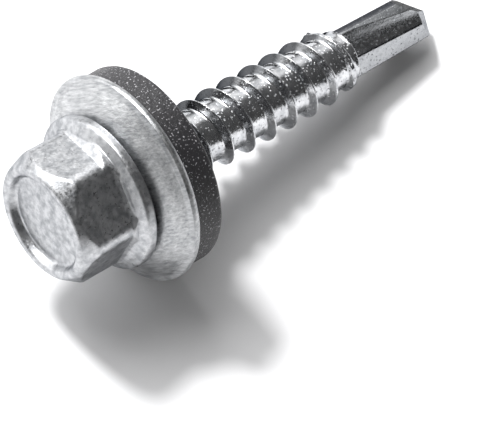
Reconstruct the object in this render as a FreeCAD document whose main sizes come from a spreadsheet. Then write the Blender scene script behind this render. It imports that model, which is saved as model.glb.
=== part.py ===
import FreeCAD, Part
import math
import os
import Sketcher

# Self drilling screw with a bonded sealing washer, lying at rest.
# Each piece is drawn about its own X axis: X runs from the head to the drill point and is 0 at the
# bearing face under the flange. Z points up across the screw once it lies on the floor.

SIZES = [
    ("across_flats", 8.0, "hex head, across flats"),
    ("head_height", 4.8, "bearing face to head top"),
    ("head_turn", 41.3, "turn of the hex about the screw's axis, degrees"),
    ("corner_round", 1.0, "round on the six upright edges of the hex"),
    ("top_bevel_radius", 3.85, "radius where the head's top bevel begins"),
    ("top_bevel_depth", 0.55, "height of the head's top bevel"),
    ("cup_radius", 3.3, "shallow cup in the head top, at its mouth"),
    ("cup_floor_radius", 2.95, "shallow cup, at its floor"),
    ("cup_depth", 0.6, "shallow cup, depth"),
    ("flange_dia", 10.38, "washer face of the head, diameter"),
    ("flange_rim", 0.5, "flange thickness at its rim"),
    ("flange_rise", 0.5, "height of the flange's sloped top"),
    ("flange_bevel", 0.15, "bevels on the flange's rim"),
    ("neck_dia", 4.6, "plain neck that the washer turns on"),
    ("neck_length", 4.2, "bearing face to the end of the neck"),
    ("neck_bevel", 0.3, "bevel from the neck down to the thread's root"),
    ("thread_major", 4.9, "thread, major diameter"),
    ("thread_root", 3.8, "thread, root diameter"),
    ("thread_pitch", 1.8, "thread pitch, right hand"),
    ("thread_angle", 60.0, "thread flank angle, degrees"),
    ("thread_depth_in", 0.4, "how far the ridge is rooted below the thread's root"),
    ("crest_flat", 0.1, "width of the thread's crest"),
    ("thread_start", 4.64, "first thread ridge, above the axis"),
    ("thread_end", 19.75, "last thread ridge, at its centre"),
    ("full_thread_from", 6.0, "where the ridge reaches its full height"),
    ("full_thread_to", 17.4, "where the ridge starts to fade"),
    ("faded_dia", 4.1, "crest diameter at the thread's end"),
    ("shank_taper_from", 18.6, "where the shank starts to taper"),
    ("shank_end", 20.15, "end of the round shank"),
    ("shank_end_dia", 3.5, "shank diameter at its end"),
    ("screw_length", 27.75, "bearing face to the drill's tip"),
    ("drill_dia", 4.3, "drill point, over its margins"),
    ("land_height", 4.18, "drill point, over its flat lands"),
    ("side_width", 3.2, "drill point, over its pinched sides"),
    ("side_from", 19.75, "where the pinched sides begin"),
    ("side_turn", 24.4, "turn of the pinched sides about the axis, degrees"),
    ("point_angle", 107.0, "drill tip, seen from above, degrees"),
    ("facet_angle", 90.0, "drill tip, seen from the side, degrees"),
    ("flute_from", 20.3, "where the flute leaves the surface"),
    ("flute_full", 21.1, "where the flute is at full depth"),
    ("flute_back_radius", 1.05, "flute radius at its shank end"),
    ("flute_back_side", -0.5, "flute centre beside the axis, shank end"),
    ("flute_back_height", 1.9, "flute centre above the axis, shank end"),
    ("flute_tip_radius", 0.82, "flute radius at the tip"),
    ("flute_tip_side", -0.83, "flute centre beside the axis, tip end"),
    ("flute_tip_height", 1.345, "flute centre above the axis, tip end"),
    ("seat_gap", 0.05, "running gap between flange and washer"),
    ("neck_gap", 0.1, "running gap between neck and washer, on the radius"),
    ("plate_dia", 14.1, "metal washer, outside diameter"),
    ("plate_thickness", 0.5, "metal washer, sheet thickness"),
    ("plate_seat_dia", 8.8, "metal washer, flat under the flange"),
    ("plate_dome", 1.2, "metal washer, height of the dome"),
    ("plate_rim_width", 0.45, "metal washer, rim outside the crease"),
    ("plate_rim_drop", 0.1, "metal washer, slope of the rim outside the crease"),
    ("plate_bevel", 0.12, "metal washer, bevels on the rim"),
    ("seal_inset", 0.3, "how far the rubber stays inside the metal washer's edge"),
    ("seal_rear", 3.9, "bearing face to the rubber's rear face"),
    ("seal_bevel", 0.3, "rubber ring, bevel on the rear edge"),
    ("seal_mouth", 0.2, "rubber ring, bevel at the rear of its bore"),
]

doc = FreeCAD.newDocument("SelfDrillingScrew")
sheet = doc.addObject("Spreadsheet::Sheet", "Sizes")
for row, (alias, value, note) in enumerate(SIZES, start=1):
    sheet.set(f"A{row}", note)
    sheet.set(f"B{row}", str(value))
    sheet.setAlias(f"B{row}", alias)
doc.recompute()


def plane_of(body, role):
    return next(item for item in body.Origin.OriginFeatures if item.Role == role)


def new_body(name):
    body = doc.addObject("PartDesign::Body", name)
    body.Label = name
    return body


def new_sketch(body, name, role, station=None, turn=None):
    """A sketch on one of the body's origin planes, shifted along or turned about its normal."""
    sketch = body.newObject("Sketcher::SketchObject", name)
    sketch.AttachmentSupport = [(plane_of(body, role), "")]
    sketch.MapMode = "FlatFace"
    if station is not None:
        sketch.setExpression("AttachmentOffset.Base.z", station)
    if turn is not None:
        sketch.setExpression("AttachmentOffset.Rotation.Angle", turn)
    return sketch


def draw_polygon(sketch, corners):
    """A closed outline; each corner is a pair of expressions measured from the sketch's origin."""
    count = len(corners)
    rough = [FreeCAD.Vector(index, index * index, 0) for index in range(count)]
    for index in range(count):
        sketch.addGeometry(Part.LineSegment(rough[index], rough[(index + 1) % count]), False)
    for index in range(count):
        sketch.addConstraint(Sketcher.Constraint("Coincident", index, 2, (index + 1) % count, 1))
    for index, (across, up) in enumerate(corners):
        place_point(sketch, index, 1, across, up)


def place_point(sketch, geometry, position, across, up):
    for kind, expression in (("DistanceX", across), ("DistanceY", up)):
        number = sketch.addConstraint(Sketcher.Constraint(kind, -1, 1, geometry, position, 1.0))
        sketch.setExpression(f"Constraints[{number}]", expression)


def draw_circle(sketch, across, up, radius):
    sketch.addGeometry(Part.Circle(FreeCAD.Vector(0, 0, 0), FreeCAD.Vector(0, 0, 1), 1.0), False)
    place_point(sketch, 0, 3, across, up)
    number = sketch.addConstraint(Sketcher.Constraint("Radius", 0, 1.0))
    sketch.setExpression(f"Constraints[{number}]", radius)


def turn_profile(body, name, kind, corners):
    """Adds or cuts a full turn of a profile given as (station, radius) pairs."""
    sketch = new_sketch(body, name + "_profile", "XZ_Plane")
    draw_polygon(sketch, corners)
    feature = body.newObject(kind, name)
    feature.Profile = sketch
    feature.ReferenceAxis = (sketch, ["H_Axis"])
    feature.Angle = 360
    doc.recompute()
    return feature


def half_turn_copy(body, feature, name):
    pattern = body.newObject("PartDesign::PolarPattern", name)
    pattern.Originals = [feature]
    pattern.Axis = (plane_of(body, "X_Axis"), [""])
    pattern.Angle = 360
    pattern.Occurrences = 2
    body.Tip = pattern
    doc.recompute()
    return pattern


def make_screw():
    body = new_body("drilling_screw")
    root = "Sizes.thread_root / 2"
    neck = "Sizes.neck_dia / 2"
    margin = "Sizes.drill_dia / 2"
    flange = "Sizes.flange_dia / 2"
    slope = f"Sizes.flange_rise / ({flange} - Sizes.across_flats / 2)"
    turn_profile(body, "shank", "PartDesign::Revolution", [
        ("-(Sizes.flange_rim + Sizes.flange_rise)", "0"),
        ("-(Sizes.flange_rim + Sizes.flange_rise)", "Sizes.across_flats / 2"),
        (f"-Sizes.flange_rim - Sizes.flange_bevel * {slope}", f"{flange} - Sizes.flange_bevel"),
        ("-Sizes.flange_rim + Sizes.flange_bevel", flange),
        ("-Sizes.flange_bevel", flange),
        ("0", f"{flange} - Sizes.flange_bevel"),
        ("0", neck),
        ("Sizes.neck_length", neck),
        ("Sizes.neck_length + Sizes.neck_bevel", root),
        ("Sizes.shank_taper_from", root),
        ("Sizes.shank_end", "Sizes.shank_end_dia / 2"),
        ("Sizes.flute_from", margin),
        ("Sizes.screw_length", margin),
        ("Sizes.screw_length", "0")])
    make_head(body)
    make_drill_point(body)
    make_thread(body)
    return body


def make_head(body):
    sketch = new_sketch(body, "hex_outline", "YZ_Plane", "-Sizes.flange_rim")
    outline = []
    for index in range(6):
        turn = f"Sizes.head_turn * 1deg + {60 * index}deg"
        reach = "Sizes.across_flats / sqrt(3)"
        outline.append((f"{reach} * cos({turn})", f"{reach} * sin({turn})"))
    draw_polygon(sketch, outline)
    hexagon = body.newObject("PartDesign::Pad", "hex_head")
    hexagon.Profile = sketch
    hexagon.setExpression("Length", "Sizes.head_height - Sizes.flange_rim")
    hexagon.Reversed = True
    doc.recompute()
    corner_radius = sheet.across_flats / math.sqrt(3)
    upright = []
    for index, edge in enumerate(body.Shape.Edges, start=1):
        ends = [vertex.Point for vertex in edge.Vertexes]
        if len(ends) == 2 and abs(ends[0].y - ends[1].y) < 1e-6 and abs(ends[0].z - ends[1].z) < 1e-6:
            if abs(math.hypot(ends[0].y, ends[0].z) - corner_radius) < 1e-4:
                upright.append(f"Edge{index}")
    corners = body.newObject("PartDesign::Fillet", "hex_corners")
    corners.Base = (hexagon, upright)
    corners.setExpression("Radius", "Sizes.corner_round")
    doc.recompute()
    outside = "Sizes.across_flats"
    turn_profile(body, "head_bevel", "PartDesign::Groove", [
        ("-Sizes.head_height", "Sizes.top_bevel_radius"),
        ("-Sizes.head_height + Sizes.top_bevel_depth", "Sizes.across_flats / sqrt(3)"),
        ("-Sizes.head_height + Sizes.top_bevel_depth", outside),
        ("-Sizes.head_height - Sizes.top_bevel_depth", outside),
        ("-Sizes.head_height - Sizes.top_bevel_depth", "Sizes.top_bevel_radius")])
    turn_profile(body, "head_cup", "PartDesign::Groove", [
        ("-Sizes.head_height", "Sizes.cup_radius"),
        ("-Sizes.head_height + Sizes.cup_depth", "Sizes.cup_floor_radius"),
        ("-Sizes.head_height + Sizes.cup_depth", "0"),
        ("-Sizes.head_height - Sizes.cup_depth", "0"),
        ("-Sizes.head_height - Sizes.cup_depth", "Sizes.cup_radius")])


def make_drill_point(body):
    wide = "Sizes.drill_dia"
    cut_point_facets(body, wide)
    cut_flats(body, wide)
    cut_flutes(body)


def cut_point_facets(body, wide):
    """Four facets meet at the tip; each pair of opposite facets is one V cut across the axis."""
    slope_side = "1 / tan(Sizes.point_angle * 1deg / 2)"
    slope_face = "1 / tan(Sizes.facet_angle * 1deg / 2)"
    fall = f"sqrt(({slope_side})^2 + ({slope_face})^2)"
    lean = f"atan(({slope_face}) / ({slope_side}))"
    tip = "Sizes.screw_length"
    back = f"{tip} - {wide} * {fall}"
    for name, turn in (("left_facets", f"{lean} - 90deg"), ("right_facets", f"90deg - {lean}")):
        sketch = new_sketch(body, name + "_outline", "XZ_Plane")
        sketch.AttachmentOffset = FreeCAD.Placement(
            FreeCAD.Vector(), FreeCAD.Rotation(FreeCAD.Vector(1, 0, 0), 1))
        sketch.setExpression("AttachmentOffset.Rotation.Angle", turn)
        draw_polygon(sketch, [(tip, "0"), (back, wide), (f"{tip} + {wide}", wide),
                              (f"{tip} + {wide}", "-" + wide), (back, "-" + wide)])
        facets = body.newObject("PartDesign::Pocket", name)
        facets.Profile = sketch
        facets.SideType = "Symmetric"
        facets.setExpression("Length", "4 * Sizes.drill_dia")
        doc.recompute()


def cut_flats(body, wide):
    for name, start, half, turn in (
            ("land_flat", "Sizes.flute_from", "Sizes.land_height / 2", "0deg"),
            ("side_flat", "Sizes.side_from", "Sizes.side_width / 2", "(Sizes.side_turn - 90) * 1deg")):
        sketch = new_sketch(body, name + "_outline", "YZ_Plane", start, turn)
        draw_polygon(sketch, [("-" + wide, half), (wide, half), (wide, wide), ("-" + wide, wide)])
        flat = body.newObject("PartDesign::Pocket", name)
        flat.Profile = sketch
        flat.setExpression("Length", "Sizes.screw_length")
        flat.Reversed = True
        doc.recompute()
        half_turn_copy(body, flat, name + "_pair")


def cut_flutes(body):
    sections = []
    for name, station, side, height, radius in (
            ("flute_runout", "Sizes.flute_from", "Sizes.flute_back_side",
             "Sizes.drill_dia / 2 + Sizes.flute_back_radius", "Sizes.flute_back_radius"),
            ("flute_back", "Sizes.flute_full", "Sizes.flute_back_side",
             "Sizes.flute_back_height", "Sizes.flute_back_radius"),
            ("flute_tip", "Sizes.screw_length", "Sizes.flute_tip_side",
             "Sizes.flute_tip_height", "Sizes.flute_tip_radius")):
        section = new_sketch(body, name, "YZ_Plane", station)
        draw_circle(section, side, height, radius)
        sections.append(section)
    doc.recompute()
    flute = body.newObject("PartDesign::SubtractiveLoft", "flute")
    flute.Profile = sections[0]
    flute.Sections = sections[1:]
    flute.Ruled = True
    doc.recompute()
    half_turn_copy(body, flute, "flute_pair")


def make_thread(body):
    flank = "tan(Sizes.thread_angle * 1deg / 2)"
    sunk = "(Sizes.thread_root / 2 - Sizes.thread_depth_in)"
    crest = "Sizes.thread_major / 2"
    half_crest = "Sizes.crest_flat / 2"
    half_base = f"({half_crest} + ({crest} - {sunk}) * {flank})"
    sketch = new_sketch(body, "thread_ridge", "XZ_Plane")
    draw_polygon(sketch, [(f"Sizes.thread_start - {half_base}", sunk),
                          (f"Sizes.thread_start - {half_crest}", crest),
                          (f"Sizes.thread_start + {half_crest}", crest),
                          (f"Sizes.thread_start + {half_base}", sunk)])
    ridge = body.newObject("PartDesign::AdditiveHelix", "thread")
    ridge.Profile = sketch
    ridge.ReferenceAxis = (sketch, ["H_Axis"])
    ridge.Mode = 0
    ridge.setExpression("Pitch", "Sizes.thread_pitch")
    ridge.setExpression("Height", "Sizes.thread_end - Sizes.thread_start")
    ridge.LeftHanded = False
    ridge.Reversed = False
    doc.recompute()
    for name, outer_end, outer_radius, full in (
            ("thread_run_in", "Sizes.neck_length", "Sizes.neck_dia / 2", "Sizes.full_thread_from"),
            ("thread_fade", "Sizes.shank_end", "Sizes.faded_dia / 2", "Sizes.full_thread_to")):
        past_full = f"(2 * {full} - {outer_end})"
        above_crest = f"(2 * {crest} - {outer_radius})"
        turn_profile(body, name, "PartDesign::Groove", [
            (outer_end, outer_radius),
            (past_full, above_crest),
            (past_full, "Sizes.thread_major"),
            (outer_end, "Sizes.thread_major")])


def make_washer_plate():
    body = new_body("washer_plate")
    bore = "Sizes.neck_dia / 2 + Sizes.neck_gap"
    crease = "Sizes.seat_gap + Sizes.plate_dome"
    crease_radius = "Sizes.plate_dia / 2 - Sizes.plate_rim_width"
    rim = f"{crease} + Sizes.plate_rim_drop"
    gauge = "Sizes.plate_thickness"
    edge = "Sizes.plate_bevel"
    turn_profile(body, "plate", "PartDesign::Revolution", [
        ("Sizes.seat_gap", bore),
        ("Sizes.seat_gap", "Sizes.plate_seat_dia / 2"),
        (crease, crease_radius),
        (rim, f"Sizes.plate_dia / 2 - {edge}"),
        (f"{rim} + {edge}", "Sizes.plate_dia / 2"),
        (f"{rim} + {gauge} - {edge}", "Sizes.plate_dia / 2"),
        (f"{rim} + {gauge}", f"Sizes.plate_dia / 2 - {edge}"),
        (f"{crease} + {gauge}", crease_radius),
        (f"Sizes.seat_gap + {gauge}", "Sizes.plate_seat_dia / 2"),
        (f"Sizes.seat_gap + {gauge}", bore)])
    return body


def make_rubber_seal():
    body = new_body("rubber_seal")
    bore = "Sizes.neck_dia / 2 + Sizes.neck_gap"
    gauge = "Sizes.plate_thickness"
    crease = f"Sizes.seat_gap + Sizes.plate_dome + {gauge}"
    crease_radius = "Sizes.plate_dia / 2 - Sizes.plate_rim_width"
    outside = "Sizes.plate_dia / 2 - Sizes.seal_inset"
    along_rim = "(Sizes.plate_rim_width - Sizes.seal_inset) / (Sizes.plate_rim_width - Sizes.plate_bevel)"
    turn_profile(body, "seal", "PartDesign::Revolution", [
        (f"Sizes.seat_gap + {gauge}", bore),
        (f"Sizes.seat_gap + {gauge}", "Sizes.plate_seat_dia / 2"),
        (crease, crease_radius),
        (f"{crease} + Sizes.plate_rim_drop * {along_rim}", outside),
        ("Sizes.seal_rear - Sizes.seal_bevel", outside),
        ("Sizes.seal_rear", f"{outside} - Sizes.seal_bevel"),
        ("Sizes.seal_rear", f"{bore} + Sizes.seal_mouth"),
        ("Sizes.seal_rear - Sizes.seal_mouth", bore)])
    return body


def resting_placement():
    """The screw lies on the rubber's rear edge and on the flat land beside the drill's tip."""
    land = sheet.land_height / 2
    land_station = sheet.screw_length - land / math.tan(math.radians(sheet.facet_angle / 2))
    run = land_station - (sheet.seal_rear - sheet.seal_bevel)
    tilt = math.atan2(sheet.plate_dia / 2 - sheet.seal_inset - land, run)
    height = land * math.cos(tilt) + land_station * math.sin(tilt)
    return FreeCAD.Placement(FreeCAD.Vector(0, 0, height),
                             FreeCAD.Rotation(FreeCAD.Vector(0, 1, 0), math.degrees(tilt)))


pieces = [make_screw(), make_washer_plate(), make_rubber_seal()]
lying = resting_placement()
for piece in pieces:
    piece.Placement = lying
doc.recompute()
low = min(piece.Shape.BoundBox.XMin for piece in pieces)
high = max(piece.Shape.BoundBox.XMax for piece in pieces)
for piece in pieces:
    piece.Placement = FreeCAD.Placement(lying.Base - FreeCAD.Vector((low + high) / 2, 0, 0), lying.Rotation)
doc.recompute()

for item in doc.Objects:
    if "Invalid" in item.State or "Error" in item.State:
        raise RuntimeError(f"{item.Name} failed: {item.State}")
os.makedirs("parts", exist_ok=True)
for piece in pieces:
    if piece.Shape.isNull() or not piece.Shape.isValid():
        raise RuntimeError(f"{piece.Label} is not a valid solid")
    piece.Shape.exportStep(f"parts/{piece.Label}.step")
    box = piece.Shape.BoundBox
    print(piece.Label, "solids", len(piece.Shape.Solids), "volume", round(piece.Shape.Volume, 2),
          "faces", len(piece.Shape.Faces), "box", [round(v, 3) for v in (
              box.XMin, box.XMax, box.YMin, box.YMax, box.ZMin, box.ZMax)])
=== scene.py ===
import bmesh
import bpy
import math
from mathutils import Matrix, Vector, noise


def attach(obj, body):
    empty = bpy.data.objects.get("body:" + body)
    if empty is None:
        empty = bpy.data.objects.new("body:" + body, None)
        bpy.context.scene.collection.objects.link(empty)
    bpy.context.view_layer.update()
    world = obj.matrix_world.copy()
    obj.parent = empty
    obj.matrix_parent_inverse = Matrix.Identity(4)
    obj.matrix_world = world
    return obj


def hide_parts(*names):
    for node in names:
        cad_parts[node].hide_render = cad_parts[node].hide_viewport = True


# Self drilling screw with a bonded sealing washer, lying at rest.
# Pieces are drawn in millimetres about the screw's own axis, from the head at minus X to the drill point,
# with 0 at the bearing face under the flange, and are then laid down as the frame has them.

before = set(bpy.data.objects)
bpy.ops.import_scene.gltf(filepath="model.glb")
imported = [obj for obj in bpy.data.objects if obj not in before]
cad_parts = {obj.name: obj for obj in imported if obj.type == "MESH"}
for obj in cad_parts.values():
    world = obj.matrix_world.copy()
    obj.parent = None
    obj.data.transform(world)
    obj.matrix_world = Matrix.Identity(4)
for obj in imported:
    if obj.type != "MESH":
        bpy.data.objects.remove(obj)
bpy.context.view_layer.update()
resting = {"tilt": 11.9279, "bearingFaceMm": (-10.8294, 0.0, 7.3483)}
tolerance = {"degenerate": 0.00001, "weld": 0.0001, "copies": 0.0008}  # millimetres
axisToRow = (Matrix.Scale(0.001, 4) @ Matrix.Translation(resting["bearingFaceMm"])
             @ Matrix.Rotation(math.radians(resting["tilt"]), 4, "Y"))


def linearColour(hexColour):
    # sRGB hex to linear
    parts = [int(hexColour[i:i + 2], 16) / 255 for i in (1, 3, 5)]
    return tuple(p / 12.92 if p <= 0.04045 else ((p + 0.055) / 1.055) ** 2.4 for p in parts) + (1.0,)


def addNode(tree, kind, settings=None, links=None, **attributes):
    # one node with its socket values, its incoming links and its own settings
    node = tree.nodes.new(kind)
    for key, value in attributes.items():
        setattr(node, key, value)
    for key, value in (settings or {}).items():
        node.inputs[key].default_value = value
    for key, source in (links or {}).items():
        tree.links.new(source, node.inputs[key])
    return node


def newMaterial(name):
    material = bpy.data.materials.new(name)
    material.use_nodes = True
    material.node_tree.nodes.clear()
    return material


def zincPlatedSteel(name, look):
    # bright zinc plate over forged or rolled steel: mirror-like, with a soft mottle and fine ragged pits
    skin = {"toneFrom": 0.36, "toneTo": 0.62, "pitRagged": 1.4, "pitHeart": 0.7, "polishFrom": 0.3,
            "polishTo": 0.7, "waveMm": 0.04, "fineMm": 0.02, "pitDeepMm": 0.03}
    material = newMaterial(name)
    tree = material.node_tree
    place = addNode(tree, "ShaderNodeTexCoord")
    mottle = addNode(tree, "ShaderNodeTexNoise",
                     {"Scale": 1000 / look["mottleMm"], "Detail": 5.0, "Roughness": 0.62},
                     {"Vector": place.outputs["Object"]})
    # the plate's own grit is some hundredths of a millimetre, and is drawn coarser so that it shows
    grit = addNode(tree, "ShaderNodeTexNoise",
                   {"Scale": 1000 / look["gritMm"], "Detail": 3.0, "Roughness": 0.55},
                   {"Vector": place.outputs["Object"]})
    pits = addNode(tree, "ShaderNodeTexVoronoi", {"Scale": 1000 / look["pitMm"], "Randomness": 1.0},
                   {"Vector": place.outputs["Object"]})
    # a pit fades out from pitHeart to pitReach, with an edge that the grit makes ragged
    uneven = addNode(tree, "ShaderNodeMath", {1: skin["pitRagged"]},
                     {0: grit.outputs["Fac"], 2: pits.outputs["Distance"]}, operation="MULTIPLY_ADD")
    inPit = addNode(tree, "ShaderNodeMapRange",
                    {"From Min": skin["pitHeart"], "From Max": look["pitReach"],
                     "To Min": 1.0, "To Max": 0.0}, {"Value": uneven.outputs["Value"]})
    tone = addNode(tree, "ShaderNodeValToRGB", None, {"Fac": mottle.outputs["Fac"]})
    tone.color_ramp.elements[0].position = skin["toneFrom"]
    tone.color_ramp.elements[0].color = linearColour(look["darkHex"])
    tone.color_ramp.elements[1].position = skin["toneTo"]
    tone.color_ramp.elements[1].color = linearColour(look["paleHex"])
    polish = addNode(tree, "ShaderNodeMapRange",
                     {"From Min": skin["polishFrom"], "From Max": skin["polishTo"],
                      "To Min": look["glossy"], "To Max": look["dull"]}, {"Value": grit.outputs["Fac"]})
    rough = addNode(tree, "ShaderNodeMath", {1: look["pitRough"]},
                    {0: inPit.outputs["Result"], 2: polish.outputs["Result"]}, operation="MULTIPLY_ADD")
    wave = addNode(tree, "ShaderNodeBump",
                   {"Strength": look["mottleBump"], "Distance": skin["waveMm"] / 1000},
                   {"Height": mottle.outputs["Fac"]})
    fine = addNode(tree, "ShaderNodeBump",
                   {"Strength": look["gritBump"], "Distance": skin["fineMm"] / 1000},
                   {"Height": grit.outputs["Fac"], "Normal": wave.outputs["Normal"]})
    pitted = addNode(tree, "ShaderNodeBump",
                     {"Strength": look["pitBump"], "Distance": skin["pitDeepMm"] / 1000},
                     {"Height": inPit.outputs["Result"], "Normal": fine.outputs["Normal"]}, invert=True)
    colour = tone.outputs["Color"]
    for facing, start, end, share, paintedShadeHex in look["paintedShades"]:
        # painted shade: sides that look this way or its opposite are painted darker
        surface = addNode(tree, "ShaderNodeNewGeometry")
        looking = addNode(tree, "ShaderNodeVectorMath", {1: facing}, {0: surface.outputs["Normal"]},
                          operation="DOT_PRODUCT")
        eitherWay = addNode(tree, "ShaderNodeMath", None, {0: looking.outputs["Value"]},
                            operation="ABSOLUTE")
        paintedShadeAmount = addNode(tree, "ShaderNodeMapRange",
                        {"From Min": start, "From Max": end, "To Min": 0.0, "To Max": share},
                        {"Value": eitherWay.outputs["Value"]})
        withPaintedShade = addNode(tree, "ShaderNodeMix", {7: linearColour(paintedShadeHex)},
                        {0: paintedShadeAmount.outputs["Result"], 6: colour}, data_type="RGBA")
        colour = withPaintedShade.outputs[2]
    # the edge tint takes the painted shade too, so that painted-dark sides stay dark at grazing angles
    shader = addNode(tree, "ShaderNodeBsdfPrincipled", {"Metallic": 1.0},
                     {"Base Color": colour, "Specular Tint": colour, "Roughness": rough.outputs["Value"],
                      "Normal": pitted.outputs["Normal"]})
    addNode(tree, "ShaderNodeOutputMaterial", None, {"Surface": shader.outputs["BSDF"]})
    return material


def satinWasherSheet(name, look):
    # galvanised sheet: satin, with the straight drawing lines of the rolling mill and pale wiped patches
    skin = {"toneFrom": 0.35, "toneTo": 0.65, "polishFrom": 0.3, "polishTo": 0.7, "scoreMm": 0.03}
    material = newMaterial(name)
    tree = material.node_tree
    place = addNode(tree, "ShaderNodeTexCoord")
    upright = addNode(tree, "ShaderNodeMapping",
                      {"Rotation": (0.0, math.radians(-resting["tilt"]), 0.0)},
                      {"Vector": place.outputs["Object"]})
    alongGrain = addNode(tree, "ShaderNodeMapping",
                         {"Rotation": (math.radians(-look["grainTurn"]), 0.0, 0.0)},
                         {"Vector": upright.outputs["Vector"]})
    stretched = addNode(tree, "ShaderNodeMapping", {"Scale": (1.0, 1.0 / look["grainStretch"], 1.0)},
                        {"Vector": alongGrain.outputs["Vector"]})
    # the mill's lines are finer than this, and are drawn coarser so that they show
    lines = addNode(tree, "ShaderNodeTexNoise",
                    {"Scale": 1000 / look["grainMm"], "Detail": 4.0, "Roughness": 0.7},
                    {"Vector": stretched.outputs["Vector"]})
    patches = addNode(tree, "ShaderNodeTexNoise",
                      {"Scale": 1000 / look["patchMm"], "Detail": 4.0, "Roughness": 0.6},
                      {"Vector": place.outputs["Object"]})
    streaked = addNode(tree, "ShaderNodeMix", {0: look["grainShare"]},
                       {2: patches.outputs["Fac"], 3: lines.outputs["Fac"]}, data_type="FLOAT")
    tone = addNode(tree, "ShaderNodeValToRGB", None, {"Fac": streaked.outputs[0]})
    tone.color_ramp.elements[0].position = skin["toneFrom"]
    tone.color_ramp.elements[0].color = linearColour(look["darkHex"])
    tone.color_ramp.elements[1].position = skin["toneTo"]
    tone.color_ramp.elements[1].color = linearColour(look["paleHex"])
    rough = addNode(tree, "ShaderNodeMapRange",
                    {"From Min": skin["polishFrom"], "From Max": skin["polishTo"],
                     "To Min": look["glossy"], "To Max": look["dull"]}, {"Value": patches.outputs["Fac"]})
    scored = addNode(tree, "ShaderNodeBump",
                     {"Strength": look["grainBump"], "Distance": skin["scoreMm"] / 1000},
                     {"Height": lines.outputs["Fac"]})
    shader = addNode(tree, "ShaderNodeBsdfPrincipled", {"Metallic": 1.0},
                     {"Base Color": tone.outputs["Color"], "Roughness": rough.outputs["Result"],
                      "Normal": scored.outputs["Normal"]})
    addNode(tree, "ShaderNodeOutputMaterial", None, {"Surface": shader.outputs["BSDF"]})
    return material


def mouldedRubber(name, look):
    # vulcanised rubber, nearly black, its granular skin dusted with pale specks
    material = newMaterial(name)
    tree = material.node_tree
    place = addNode(tree, "ShaderNodeTexCoord")
    grain = addNode(tree, "ShaderNodeTexNoise",
                    {"Scale": 1000 / look["grainMm"], "Detail": 4.0, "Roughness": 0.65},
                    {"Vector": place.outputs["Object"]})
    specks = addNode(tree, "ShaderNodeTexNoise",
                     {"Scale": 1000 / look["speckMm"], "Detail": 2.0, "Roughness": 0.5},
                     {"Vector": place.outputs["Object"]})
    speckMask = addNode(tree, "ShaderNodeMapRange",
                        {"From Min": look["speckFrom"], "From Max": look["speckTo"],
                         "To Min": 0.0, "To Max": 1.0}, {"Value": specks.outputs["Fac"]})
    colour = addNode(tree, "ShaderNodeMix",
                     {6: linearColour(look["blackHex"]), 7: linearColour(look["speckHex"])},
                     {0: speckMask.outputs["Result"]}, data_type="RGBA")
    bumped = addNode(tree, "ShaderNodeBump",
                     {"Strength": look["grainBump"], "Distance": look["grainDeepMm"] / 1000},
                     {"Height": grain.outputs["Fac"]})
    shader = addNode(tree, "ShaderNodeBsdfPrincipled", {"Roughness": look["roughness"], "IOR": look["ior"]},
                     {"Base Color": colour.outputs[2], "Normal": bumped.outputs["Normal"]})
    addNode(tree, "ShaderNodeOutputMaterial", None, {"Surface": shader.outputs["BSDF"]})
    return material


# painted shades are (direction, from, to, share, colour): painted shade by how far the surface looks that
# way
headZinc = zincPlatedSteel("zincPlatedForgedSteel", {
    "darkHex": "#a4a6a9", "paleHex": "#cdced0", "mottleMm": 0.5, "mottleBump": 0.26,
    "gritMm": 0.15, "gritBump": 0.16, "pitMm": 0.5, "pitReach": 0.8, "pitBump": 0.1, "pitRough": 0.2,
    "glossy": 0.25, "dull": 0.48, "paintedShades": ()})
# the thread's painted shade darkens its upper flanks that face the head
threadZinc = zincPlatedSteel("zincPlatedRolledSteel", {
    "darkHex": "#b8babd", "paleHex": "#e0e1e3", "mottleMm": 0.9, "mottleBump": 0.3,
    "gritMm": 0.14, "gritBump": 0.3, "pitMm": 0.24, "pitReach": 0.93, "pitBump": 0.5, "pitRough": 0.7,
    "glossy": 0.08, "dull": 0.26, "paintedShades": (((-0.753, 0.519, 0.4), 0.8, 0.93, 0.9, "#3c3e41"),)})
# painted shade on the point's trimmed sides, land, flute wall and tip facets
pointZinc = zincPlatedSteel("zincPlatedPinchedSteel", {
    "darkHex": "#b4b6b9", "paleHex": "#e2e3e5", "mottleMm": 0.7, "mottleBump": 0.4,
    "gritMm": 0.12, "gritBump": 0.4, "pitMm": 0.26, "pitReach": 0.93, "pitBump": 0.5, "pitRough": 0.7,
    "glossy": 0.14, "dull": 0.36,
    "paintedShades": (((0.0854, 0.9107, 0.4042), 0.72, 0.84, 1.0, "#66676a"),
               ((0.206, 0.02, 0.978), 0.92, 0.98, 0.8, "#6a6c6f"),
               ((0.709, 0.3457, 0.6148), 0.9, 0.96, 1.0, "#4e5053"),
               ((0.083, -0.915, 0.394), 0.86, 0.97, 0.75, "#a2a4a7"),
               ((0.7886, -0.4698, 0.397), 0.9, 0.96, 0.4, "#8c8e91"))})
washerSheet = satinWasherSheet("galvanisedSatinSheet", {
    "darkHex": "#85878a", "paleHex": "#d7d8d9", "grainTurn": 131.0, "grainStretch": 10.0,
    "grainMm": 0.16, "grainBump": 1.0, "grainShare": 0.6, "patchMm": 1.6, "glossy": 0.3, "dull": 0.48})
rubber = mouldedRubber("mouldedBlackRubber", {
    "blackHex": "#1f1e21", "speckHex": "#b9b8bc", "grainMm": 0.2, "grainBump": 1.0, "grainDeepMm": 0.06,
    "speckMm": 0.12, "speckFrom": 0.62, "speckTo": 0.7, "roughness": 0.5, "ior": 1.52})
print("materials ready")


def ramp(value, start, end):
    t = min(max((value - start) / (end - start), 0.0), 1.0)
    return t * t * (3 - 2 * t)


def rise(part, station):
    height, start, end = part
    return height * ramp(station, start, end)


def smoothMax(a, b, width):
    h = max(width - abs(a - b), 0.0) / width
    return max(a, b) + h * h * width / 4


def smoothMin(a, b, width):
    return -smoothMax(-a, -b, width)


def setRadius(vert, radius):
    scale = radius / math.hypot(vert.co.y, vert.co.z)
    vert.co.y *= scale
    vert.co.z *= scale


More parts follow.
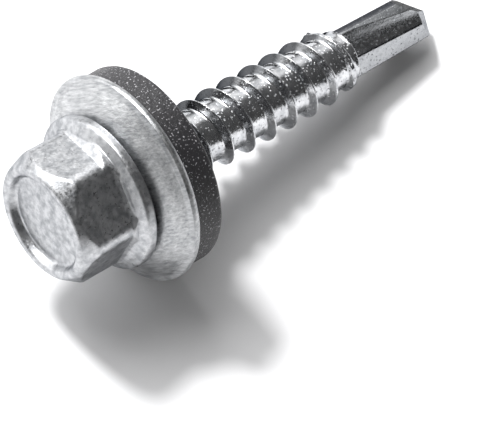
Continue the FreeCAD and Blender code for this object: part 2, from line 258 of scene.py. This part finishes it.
def roundCorners(bm, verts, roundings, segments):
    for vert, rounding in zip(verts, roundings):
        if rounding:
            bmesh.ops.bevel(bm, geom=[vert], offset=rounding, offset_type="OFFSET", segments=segments,
                            profile=0.5, affect="VERTICES", material=-1)


def drawProfile(bm, corners, spacing):
    # corners are (station, radius, rounding); each corner is rounded, then long runs are divided
    verts = [bm.verts.new((station, 0.0, radius)) for station, radius, _ in corners]
    for pair in zip(verts, verts[1:]):
        bm.edges.new(pair)
    roundCorners(bm, verts, [rounding for _, _, rounding in corners], 6)
    for edge in list(bm.edges):
        cuts = int(edge.calc_length() / spacing)
        if cuts:
            bmesh.ops.subdivide_edges(bm, edges=[edge], cuts=cuts)


def repeatPiece(bm, count, step):
    # copies of all that is drawn, each moved by one more step
    geom = bm.verts[:] + bm.edges[:] + bm.faces[:]
    for index in range(1, count):
        copied = bmesh.ops.duplicate(bm, geom=geom)["geom"]
        verts = [item for item in copied if isinstance(item, bmesh.types.BMVert)]
        bmesh.ops.transform(bm, matrix=step(index), verts=verts)
    bmesh.ops.remove_doubles(bm, verts=bm.verts[:], dist=tolerance["copies"])


def spinAbout(bm, angle, steps, advance=0.0):
    # turns the profile about the screw's axis, with the advance along it in each step
    bmesh.ops.spin(bm, geom=bm.verts[:] + bm.edges[:], cent=(0, 0, 0), axis=(1, 0, 0), dvec=(advance, 0, 0),
                   angle=angle, steps=steps, use_merge=False, use_normal_flip=False, use_duplicate=False)


def spinProfile(bm, steps):
    # a sixth of a turn is spun and then repeated
    spinAbout(bm, math.tau / 6, steps // 6)
    repeatPiece(bm, 6, lambda index: Matrix.Rotation(math.tau / 6 * index, 4, "X"))


def cutAway(bm, place, outward):
    # takes off what lies on the outward side of a plane, and returns the edges of the cut
    cut = bmesh.ops.bisect_plane(bm, geom=bm.verts[:] + bm.edges[:] + bm.faces[:], dist=tolerance["weld"],
                                 plane_co=place, plane_no=outward, clear_outer=True)
    return [item for item in cut["geom_cut"] if isinstance(item, bmesh.types.BMEdge)]


def finishPiece(bm, name, body, node, material, smoothAngle=None):
    # lays the piece down on the floor in metres, and hands it to its body
    bmesh.ops.dissolve_degenerate(bm, dist=tolerance["degenerate"], edges=bm.edges[:])
    bmesh.ops.recalc_face_normals(bm, faces=bm.faces[:])
    bmesh.ops.transform(bm, matrix=axisToRow, verts=bm.verts[:])
    mesh = bpy.data.meshes.new(name)
    bm.to_mesh(mesh)
    bm.free()
    mesh.materials.append(material)
    piece = bpy.data.objects.new(name, mesh)
    bpy.context.scene.collection.objects.link(piece)
    for face in mesh.polygons:
        face.use_smooth = True
    if smoothAngle is not None:
        mesh.set_sharp_from_angle(angle=math.radians(smoothAngle))
    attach(piece, body)
    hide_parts(node)
    print(name, "faces", len(mesh.polygons))


def hexOutline(head, station, turn):
    # the nearer two of the six sides meet in a rounded corner, and the slopes at their feet end at footReach
    half = head["acrossFlats"] / 2
    flats, slopes = [], []
    for index in (math.floor(turn / 60), math.floor(turn / 60) + 1):
        fromFlat = math.radians(turn - 60 * index)
        footFrom, footLean = head["feet"][index % 6]
        foot = station - footFrom - footLean * half * math.tan(fromFlat)
        flats.append(half / math.cos(fromFlat))
        slopes.append((half + smoothMax(0.0, foot, head["footBend"])) / math.cos(fromFlat))
    limit = max(smoothMin(*flats, head["cornerBlend"]), head["footReach"])
    return smoothMin(smoothMin(*slopes, head["cornerBlend"]), limit, head["footBlend"])


def makeHead():
    # feet: where the slope under each flat begins, and how much that line leans along the flat;
    # the flange's top is a cone that a steep wall ends at the hex, and the neck stays plain
    head = {"acrossFlats": 8.0, "turn": 71.3, "cornerBlend": 0.62, "outlineBlend": 0.08,
            "crown": -5.05, "crownEnd": -3.85, "crownInset": 0.08, "rim": 3.74, "rimDrop": 0.03,
            "cupFloor": -4.47, "cupFoot": 3.0, "cupMouth": 3.28, "cupLip": 0.2, "lipDrop": 0.07,
            "feet": ((-1.46, -0.13), (-1.36, 0.0), (-1.33, 0.03), (-1.33, 0.0), (-1.33, 0.0), (-1.33, 0.0)),
            "footBend": 0.04, "footReach": 4.57, "footBlend": 0.05,
            "coneFrom": 4.45, "coneTop": -1.08, "coneSlope": 1.8, "wallFrom": 0.05, "wallSlope": 9,
            "wallBlend": 0.04, "coneBlend": 0.05, "plainInside": 0.3, "plainBehind": -0.3,
            "flangeRadius": 5.19, "flangeBack": -1.25, "flangeEdge": -0.7, "flangeFace": -0.04,
            "neckRadius": 2.3, "neckEnd": 4.0, "spacing": 0.07, "steps": 300}
    half = head["acrossFlats"] / 2
    corner = head["acrossFlats"] / math.sqrt(3)
    bm = bmesh.new()
    drawProfile(bm, [
        (head["cupFloor"], 0.0, 0), (head["cupFloor"], head["cupFoot"], 0.14),
        (head["crown"] + head["lipDrop"], head["cupMouth"], 0.1),
        (head["crown"], head["cupMouth"] + head["cupLip"], 0.14),
        (head["crown"] + head["rimDrop"], head["rim"], 0.16),
        (head["crownEnd"], corner - head["crownInset"], 0), (head["flangeBack"], corner, 0),
        (head["flangeEdge"], head["flangeRadius"], 0.25), (head["flangeFace"], head["flangeRadius"], 0.16),
        (0.0, head["neckRadius"], 0), (head["neckEnd"], head["neckRadius"], 0)], head["spacing"])
    spinProfile(bm, head["steps"])
    for vert in bm.verts:
        station, radius = vert.co.x, math.hypot(vert.co.y, vert.co.z)
        if radius < half - head["plainInside"] or station > head["plainBehind"]:
            continue
        turn = math.degrees(math.atan2(vert.co.z, vert.co.y)) - head["turn"]
        fromTop = station - head["coneTop"]
        cone = head["coneFrom"] + fromTop * head["coneSlope"]
        wall = half + (fromTop + head["wallFrom"]) * head["wallSlope"]
        flange = smoothMin(cone, wall, head["wallBlend"])
        outer = smoothMax(hexOutline(head, station, turn), flange, head["coneBlend"])
        setRadius(vert, smoothMin(radius, outer, head["outlineBlend"]))
    finishPiece(bm, "screwHead", "screw", "drilling_screw", headZinc)


def makeThread():
    # taper, ragged, collar and closing are (height, from, to) along the axis, neckBevel is (length, depth);
    # the burr is a smear of metal on the last turn
    thread = {"major": 2.46, "root": 1.9, "pitch": 1.8, "start": 4.64, "from": 3.6, "to": 20.36,
              "turns": 12, "flank": 30, "halfCrest": 0.035, "crestRound": 0.015, "rootRound": 0.13,
              "spacing": 0.06, "steps": 144, "neckRadius": 2.3, "neckEnd": 4.2, "neckBevel": (0.3, 0.4),
              "neckBlend": 0.05, "rootFrom": 4.5, "runInSlope": 0.0833, "fadeFrom": 17.4,
              "fadeSlope": 0.1455, "taper": (0.15, 18.4, 20.15), "ragged": (0.09, 17.6, 18.6),
              "raggedGrain": 2.6, "collar": (0.06, 19.95, 20.12), "closing": (1.1, 20.2, 20.36),
              "burr": {"station": 18.8, "turn": 24.0, "radius": 2.2, "height": 0.2, "width": 0.32,
                       "uneven": 0.4, "grain": 4}}
    base = thread["halfCrest"] + (thread["major"] - thread["root"]) * math.tan(math.radians(thread["flank"]))
    first = thread["start"] - 1.5 * thread["pitch"]
    middle = first + thread["pitch"] / 2
    bm = bmesh.new()
    drawProfile(bm, [
        (first, thread["root"], 0), (middle - base, thread["root"], thread["rootRound"]),
        (middle - thread["halfCrest"], thread["major"], thread["crestRound"]),
        (middle + thread["halfCrest"], thread["major"], thread["crestRound"]),
        (middle + base, thread["root"], thread["rootRound"]),
        (first + thread["pitch"], thread["root"], 0)], thread["spacing"])
    spinAbout(bm, math.tau, thread["steps"], thread["pitch"] / thread["steps"])
    repeatPiece(bm, thread["turns"], lambda index: Matrix.Translation((thread["pitch"] * index, 0, 0)))
    cutAway(bm, (thread["from"], 0, 0), (-1, 0, 0))
    cutAway(bm, (thread["to"], 0, 0), (1, 0, 0))
    burr = thread["burr"]
    burrTurn = math.radians(burr["turn"])
    burrPlace = Vector((burr["station"], burr["radius"] * math.cos(burrTurn),
                        burr["radius"] * math.sin(burrTurn)))
    for vert in bm.verts:
        station = vert.co.x
        above = math.hypot(vert.co.y, vert.co.z) - thread["root"]
        root = thread["root"] - rise(thread["taper"], station)
        runIn = thread["neckRadius"] + (station - thread["neckEnd"]) * thread["runInSlope"]
        fade = thread["major"] - (station - thread["fadeFrom"]) * thread["fadeSlope"]
        ragged = rise(thread["ragged"], station) * noise.noise(vert.co * thread["raggedGrain"])
        fromBurr = (vert.co - burrPlace).length / burr["width"]
        bump = burr["height"] * math.exp(-fromBurr ** 2)
        bump *= 1 + burr["uneven"] * noise.noise(vert.co * burr["grain"])
        radius = min(root + above, max(runIn, root), max(fade, root) + ragged) + bump
        radius += rise(thread["collar"], station) - rise(thread["closing"], station)
        if station < thread["rootFrom"]:
            length, depth = thread["neckBevel"]
            neck = thread["neckRadius"] - max(station - thread["neckEnd"], 0.0) / length * depth
            radius = smoothMax(radius, neck, thread["neckBlend"])
        setRadius(vert, radius)
    finishPiece(bm, "rolledThread", "screw", "drilling_screw", threadZinc)


def makeDrillPoint():
    # sections across the axis as (beside, ahead, rounding) for one half, the other half is half a turn on;
    # a facet is a plane through the tip, given by how it leans beside and ahead
    point = {"turn": 24.4, "tip": 27.75, "smoothAngle": 28,
             "facets": ((1.1, 0.95), (-0.29, 1.01), (-0.5, -0.95), (0.29, -1.01)),
             "sections": (
                 (20.1, ((1.7, -0.25, 0.05), (1.68, 0.75, 0.05), (1.32, 1.26, 0.05), (1.22, 1.32, 0.04),
                         (0.1, 0.95, 0.7), (-0.5, 0.92, 0.1), (-0.62, 1.3, 0.04))),
                 (21.3, ((1.7, -0.35, 0.05), (1.66, 0.8, 0.05), (1.26, 1.44, 0.05), (1.09, 1.54, 0.04),
                         (0.1, 0.79, 0.8), (-0.54, 0.76, 0.1), (-0.64, 1.3, 0.04))),
                 (28.6, ((1.62, -0.3, 0.05), (1.56, 1.0, 0.05), (1.1, 1.65, 0.05), (-0.07, 2.06, 0.04),
                         (-0.46, 1.62, 0.3), (-0.82, 1.48, 0.05), (-0.88, 1.52, 0.03))))}
    bm = bmesh.new()
    rings = []
    for station, half in point["sections"]:
        corners = list(half) + [(-beside, -ahead, rounding) for beside, ahead, rounding in half]
        verts = [bm.verts.new((station, beside, ahead)) for beside, ahead, _ in corners]
        before = set(bm.edges)
        for index, vert in enumerate(verts):
            bm.edges.new((verts[index - 1], vert))
        roundCorners(bm, verts, [rounding for _, _, rounding in corners], 5)
        rings.append([edge for edge in bm.edges if edge not in before])
    for near, far in zip(rings, rings[1:]):
        bmesh.ops.bridge_loops(bm, edges=near + far)
    for ring in (rings[0], rings[-1]):
        bmesh.ops.edgeloop_fill(bm, edges=ring)
    for beside, ahead in point["facets"]:
        bmesh.ops.edgeloop_fill(bm, edges=cutAway(bm, (point["tip"], 0, 0), (1, beside, ahead)))
    bmesh.ops.transform(bm, matrix=Matrix.Rotation(math.radians(point["turn"]), 4, "X"), verts=bm.verts[:])
    finishPiece(bm, "drillPoint", "screw", "drilling_screw", pointZinc,
                point["smoothAngle"])


def makeWasherPlate():
    plate = {"spacing": 0.08, "steps": 288, "profile": (
        (0.3, 2.4, 0), (0.05, 2.4, 0.03), (0.05, 4.3, 0.8), (0.62, 5.7, 0.5), (1.25, 6.6, 0.05),
        (1.35, 6.97, 0.06), (1.6, 7.05, 0.12), (1.85, 6.93, 0.08), (1.75, 6.6, 0), (1.12, 5.7, 0.4),
        (0.55, 4.3, 0.4), (0.55, 2.4, 0.03), (0.3, 2.4, 0))}
    bm = bmesh.new()
    drawProfile(bm, plate["profile"], plate["spacing"])
    bmesh.ops.remove_doubles(bm, verts=bm.verts[:], dist=tolerance["weld"])
    spinProfile(bm, plate["steps"])
    finishPiece(bm, "washerPlate", "sealing_washer", "washer_plate", washerSheet)


def makeRubberSeal():
    # the moulded skin is slightly uneven outside skinFrom and behind skinBehind
    seal = {"spacing": 0.1, "steps": 288, "skinFrom": 5.0, "skinBehind": 1.9, "swell": 0.035,
            "swellGrain": 0.55, "dent": 0.012, "dentGrain": 3.1, "sunk": 0.02, "profile": (
                (0.57, 2.42, 0), (0.57, 4.4, 0), (1.77, 6.6, 0), (1.82, 6.74, 0.03), (2.4, 6.73, 0.3),
                (3.9, 6.75, 0.3), (3.9, 2.6, 0.05), (3.7, 2.4, 0), (0.57, 2.42, 0))}
    bm = bmesh.new()
    drawProfile(bm, seal["profile"], seal["spacing"])
    spinProfile(bm, seal["steps"])
    for vert in bm.verts:
        radius = math.hypot(vert.co.y, vert.co.z)
        if radius > seal["skinFrom"] and vert.co.x > seal["skinBehind"]:
            swell = seal["swell"] * noise.noise(vert.co * seal["swellGrain"])
            dent = seal["dent"] * abs(noise.noise(vert.co * seal["dentGrain"]))
            setRadius(vert, radius + swell - dent - seal["sunk"])
    finishPiece(bm, "rubberSeal", "sealing_washer", "rubber_seal", rubber)


makeHead()
makeThread()
makeDrillPoint()
makeWasherPlate()
makeRubberSeal()
print("pieces ready")


def makeStage():
    # white paper that looks a little brighter to the camera and in mirror images than it lights the part
    stage = {"floorMm": 600.0, "floorHex": "#e9e9ea", "glow": 0.03}
    bm = bmesh.new()
    bmesh.ops.create_grid(bm, x_segments=1, y_segments=1, size=stage["floorMm"] / 1000)
    mesh = bpy.data.meshes.new("floor")
    bm.to_mesh(mesh)
    bm.free()
    floor = bpy.data.objects.new("floor", mesh)
    bpy.context.scene.collection.objects.link(floor)
    material = newMaterial("matteWhitePaper")
    tree = material.node_tree
    paper = addNode(tree, "ShaderNodeBsdfDiffuse", {"Color": linearColour(stage["floorHex"])})
    glow = addNode(tree, "ShaderNodeEmission", {"Color": linearColour("#ffffff"), "Strength": stage["glow"]})
    path = addNode(tree, "ShaderNodeLightPath")
    mirrored = addNode(tree, "ShaderNodeMath", None,
                       {0: path.outputs["Is Glossy Ray"], 1: path.outputs["Is Transmission Ray"]},
                       operation="MAXIMUM")
    looked = addNode(tree, "ShaderNodeMath", None,
                     {0: path.outputs["Is Camera Ray"], 1: mirrored.outputs["Value"]}, operation="MAXIMUM")
    lit = addNode(tree, "ShaderNodeAddShader", None, {0: paper.outputs["BSDF"], 1: glow.outputs["Emission"]})
    seen = addNode(tree, "ShaderNodeMixShader", None,
                   {"Fac": looked.outputs["Value"], 1: paper.outputs["BSDF"], 2: lit.outputs["Shader"]})
    addNode(tree, "ShaderNodeOutputMaterial", None, {"Surface": seen.outputs["Shader"]})
    mesh.materials.append(material)


def makeWorld():
    # a dim room, paler at plus Y, with four soft boxes: one over the window lamp, one past the drill
    # point, a bright one past the head at plus Y, and a weak one low at minus X
    studio = {"dark": 0.05, "pale": 0.2, "boxes": (
        {"towards": (0.16, 1.0, 1.2), "from": 0.84, "to": 0.93, "strength": 1.1},
        {"towards": (0.6, 0.62, 0.5), "from": 0.9, "to": 0.97, "strength": 0.9},
        {"towards": (-0.55, 0.72, 0.41), "from": 0.9, "to": 0.96, "strength": 2.2},
        {"towards": (-1.0, 0.0, 0.15), "from": 0.88, "to": 0.98, "strength": 0.7})}
    world = bpy.data.worlds.new("studio")
    bpy.context.scene.world = world
    world.use_nodes = True
    tree = world.node_tree
    tree.nodes.clear()
    place = addNode(tree, "ShaderNodeTexCoord")
    parts = addNode(tree, "ShaderNodeSeparateXYZ", None, {"Vector": place.outputs["Generated"]})
    room = addNode(tree, "ShaderNodeMapRange",
                   {"From Min": -1.0, "From Max": 1.0, "To Min": studio["dark"],
                    "To Max": studio["pale"]}, {"Value": parts.outputs["Y"]})
    total = room.outputs["Result"]
    for box in studio["boxes"]:
        near = addNode(tree, "ShaderNodeVectorMath", {1: Vector(box["towards"]).normalized()},
                       {0: place.outputs["Generated"]}, operation="DOT_PRODUCT")
        light = addNode(tree, "ShaderNodeMapRange",
                        {"From Min": box["from"], "From Max": box["to"], "To Min": 0.0,
                         "To Max": box["strength"]}, {"Value": near.outputs["Value"]})
        summed = addNode(tree, "ShaderNodeMath", None, {0: total, 1: light.outputs["Result"]})
        total = summed.outputs["Value"]
    shader = addNode(tree, "ShaderNodeBackground", {"Color": linearColour("#ffffff")}, {"Strength": total})
    addNode(tree, "ShaderNodeOutputWorld", None, {"Surface": shader.outputs["Background"]})


def makeLamps():
    # round lamps that look at the origin, sizes in metres
    lamps = {"windowLamp": {"towards": (-0.03, 1.0, 1.43), "distance": 0.5, "size": 0.085, "watts": 2.6},
             "windowBounce": {"towards": (0.0, 1.0, 1.8), "distance": 0.5, "size": 0.4, "watts": 1.3}}
    for name, lamp in lamps.items():
        light = bpy.data.lights.new(name, "AREA")
        light.shape = "DISK"
        light.size = lamp["size"]
        light.energy = lamp["watts"]
        lampObject = bpy.data.objects.new(name, light)
        bpy.context.scene.collection.objects.link(lampObject)
        towards = Vector(lamp["towards"]).normalized()
        lampObject.location = towards * lamp["distance"]
        lampObject.rotation_euler = towards.to_track_quat("Z", "Y").to_euler()


def makeCamera():
    view = {"locationMm": (-67.9438, -72.3498, 168.3425), "turn": (29.2802, -2.0663, -39.9096),
            "lens": 225.0, "sensor": 36.0, "clip": (0.005, 10.0)}
    camera = bpy.data.cameras.new("camera")
    camera.lens = view["lens"]
    camera.sensor_width = view["sensor"]
    camera.clip_start, camera.clip_end = view["clip"]
    cameraObject = bpy.data.objects.new("camera", camera)
    bpy.context.scene.collection.objects.link(cameraObject)
    cameraObject.location = Vector(view["locationMm"]) / 1000
    cameraObject.rotation_euler = [math.radians(angle) for angle in view["turn"]]
    bpy.context.scene.camera = cameraObject


makeStage()
makeWorld()
makeLamps()
makeCamera()
bpy.context.scene.view_settings.view_transform = "Standard"
print("stage ready")
